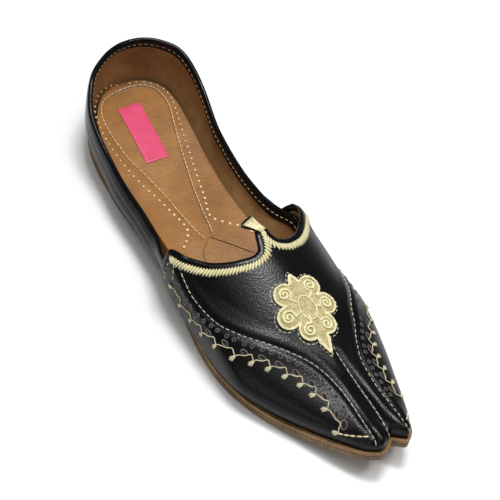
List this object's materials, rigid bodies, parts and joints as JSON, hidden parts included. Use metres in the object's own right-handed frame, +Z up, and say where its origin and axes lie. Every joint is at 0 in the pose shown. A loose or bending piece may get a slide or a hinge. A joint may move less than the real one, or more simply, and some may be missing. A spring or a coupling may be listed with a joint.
{
  "type": "mojari shoe",
  "caption": "Flat slip-on mojari for the right foot: low black leather upper with a cusped throat, two toe lobes, tan inside and thin leather sole.",
  "frame": {"origin": "on the floor, under the middle of the shoe's box", "axes": "+Z up, +Y along the shoe from heel to toe, +X to the outer side of the right foot"},
  "size_m": [0.0766, 0.2504, 0.0485],
  "materials": {
    "outsole_leather": "matt, fine lengthwise grain",
    "midsole_leather": "matt, cut edge",
    "insole_leather": "matt, pebbled",
    "rim_leather": "matt, stitched",
    "label_cloth": "smooth woven label, bare",
    "black_leather": "soft gloss, fine grain",
    "collar_piping": "soft gloss",
    "throat_piping_lateral": "soft gloss",
    "throat_piping_medial": "soft gloss",
    "tip_thread": "wrapped thread",
    "medallion_cord": "raised cord embroidery"
  },
  "bodies": {
    "root": {"outsole": "outsole_leather", "midsole": "midsole_leather", "insole": "insole_leather", "insole_rim": "rim_leather", "label": "label_cloth", "upper": "black_leather", "collar_binding": "collar_piping", "throat_binding_lateral": "throat_piping_lateral", "throat_binding_medial": "throat_piping_medial", "cusp_tip": "tip_thread", "medallion": "medallion_cord"}
  },
  "joints": []
}
